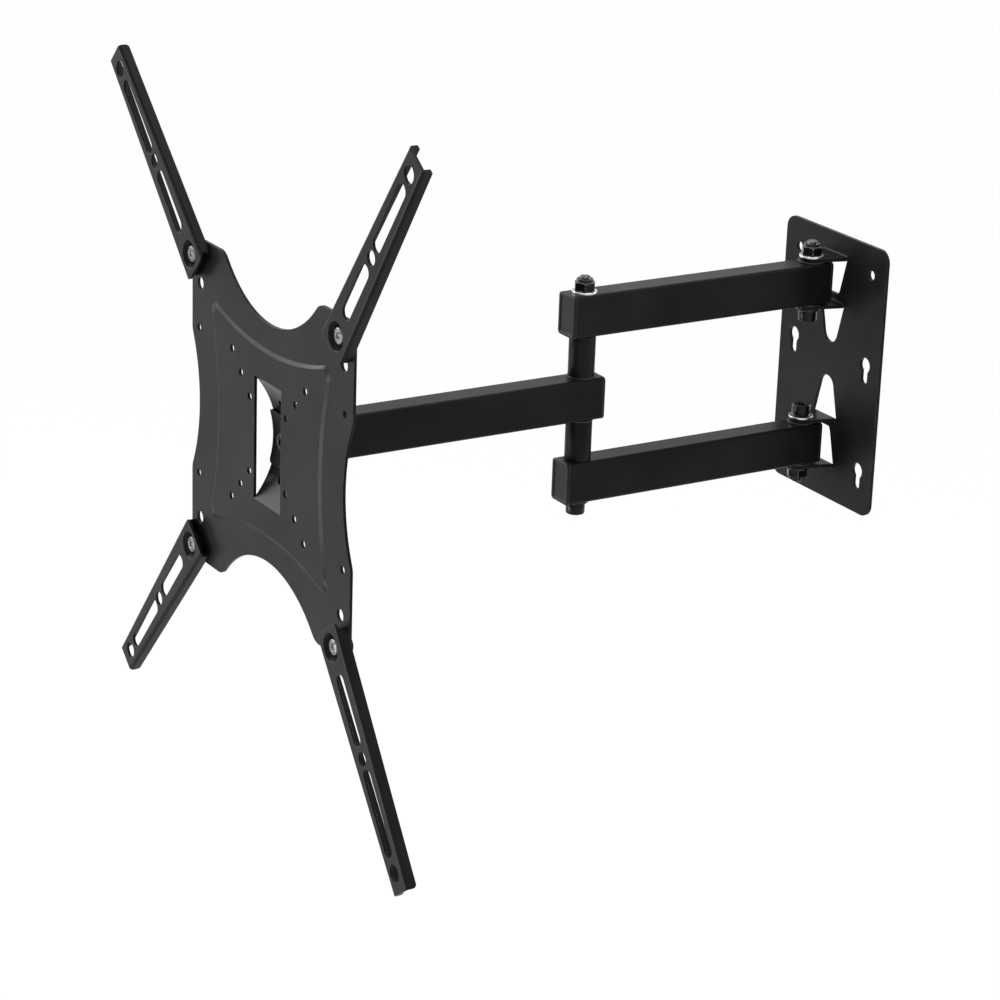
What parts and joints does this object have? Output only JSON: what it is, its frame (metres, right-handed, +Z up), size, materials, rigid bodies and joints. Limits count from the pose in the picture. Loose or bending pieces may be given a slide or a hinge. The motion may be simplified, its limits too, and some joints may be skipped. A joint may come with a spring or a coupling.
{
  "type": "full motion tv wall mount",
  "caption": "Articulated television wall mount: wall plate, paired rear arms, front arm, swivelling and tilting head, pressed plate and slotted extension arms.",
  "frame": {"origin": "on the flat back face of the wall plate, level with the middle arm and midway between the sides", "axes": "+Z up, +Y into the wall, so the mount reaches out along -Y; +X to the right for someone who faces the wall"},
  "size_m": [0.4219, 0.4472, 0.4663],
  "materials": {
    "black_powder_coat": "satin, fine texture",
    "black_plastic": "matt, moulded",
    "zinc_steel": "bright zinc plate",
    "black_steel": "black zinc plate",
    "nylon": "matt"
  },
  "bodies": {
    "wall": {"wall_plate": "black_powder_coat", "wall_upper_bolt": "black_steel", "wall_lower_bolt": "black_steel", "wall_upper_nut": "black_steel", "wall_lower_nut": "black_steel", "wall_steel_washers": "zinc_steel", "wall_nylon_washers": "nylon"},
    "rear_arms": {"upper_arm_tube": "black_powder_coat", "upper_arm_wall_plug": "black_plastic", "upper_arm_elbow_plug": "black_plastic", "lower_arm_tube": "black_powder_coat", "lower_arm_wall_plug": "black_plastic", "lower_arm_elbow_plug": "black_plastic", "elbow_upper_spacer": "black_powder_coat", "elbow_lower_spacer": "black_powder_coat", "elbow_bolt": "black_steel", "elbow_nut": "black_steel", "elbow_steel_washers": "zinc_steel"},
    "front_arm": {"front_arm_tube": "black_powder_coat", "front_arm_elbow_plug": "black_plastic", "front_arm_head_plug": "black_plastic", "elbow_nylon_washers": "nylon", "swivel_nylon_washers": "nylon"},
    "swivel_head": {"swivel_bracket": "black_powder_coat", "tilt_clamp_plate": "black_powder_coat", "tilt_bolt": "black_steel", "tilt_weld_nut": "black_powder_coat", "swivel_bolt": "black_steel", "swivel_nut": "black_steel", "swivel_steel_washers": "zinc_steel"},
    "tv_plate": {"tv_plate": "black_powder_coat", "arm_pivot_screws": "zinc_steel", "arm_pivot_washers": "zinc_steel", "arm_pivot_nuts": "black_steel"},
    "upper_right_arm": {"upper_right_arm": "black_powder_coat"},
    "upper_left_arm": {"upper_left_arm": "black_powder_coat"},
    "lower_right_arm": {"lower_right_arm": "black_powder_coat"},
    "lower_left_arm": {"lower_left_arm": "black_powder_coat"}
  },
  "joints": [
    {"name": "wall_swivel", "type": "hinge", "parent": "wall", "child": "rear_arms", "pos_m": [0, -0.023, 0], "axis": [0, 0, 1], "range_deg": [-90, 90]},
    {"name": "elbow", "type": "hinge", "parent": "rear_arms", "child": "front_arm", "pos_m": [0, -0.2074, 0], "axis": [0, 0, -1], "range_deg": [-150, 150]},
    {"name": "head_swivel", "type": "hinge", "parent": "front_arm", "child": "swivel_head", "pos_m": [0, -0.3993, 0], "axis": [0, 0, 1], "range_deg": [-90, 90]},
    {"name": "head_tilt", "type": "hinge", "parent": "swivel_head", "child": "tv_plate", "pos_m": [0, -0.4873, 0], "axis": [1, 0, 0], "range_deg": [-12, 12]},
    {"name": "upper_right_arm_turn", "type": "hinge", "parent": "tv_plate", "child": "upper_right_arm", "pos_m": [0.1, -0.4398, 0.1], "axis": [0, 1, 0], "range_deg": [-35.2, 54.8]},
    {"name": "upper_left_arm_turn", "type": "hinge", "parent": "tv_plate", "child": "upper_left_arm", "pos_m": [-0.1, -0.4398, 0.1], "axis": [0, 1, 0], "range_deg": [-43.7, 46.3]},
    {"name": "lower_right_arm_turn", "type": "hinge", "parent": "tv_plate", "child": "lower_right_arm", "pos_m": [0.1, -0.4398, -0.1], "axis": [0, 1, 0], "range_deg": [-53.5, 36.5]},
    {"name": "lower_left_arm_turn", "type": "hinge", "parent": "tv_plate", "child": "lower_left_arm", "pos_m": [-0.1, -0.4398, -0.1], "axis": [0, 1, 0], "range_deg": [-40.5, 49.5]}
  ]
}
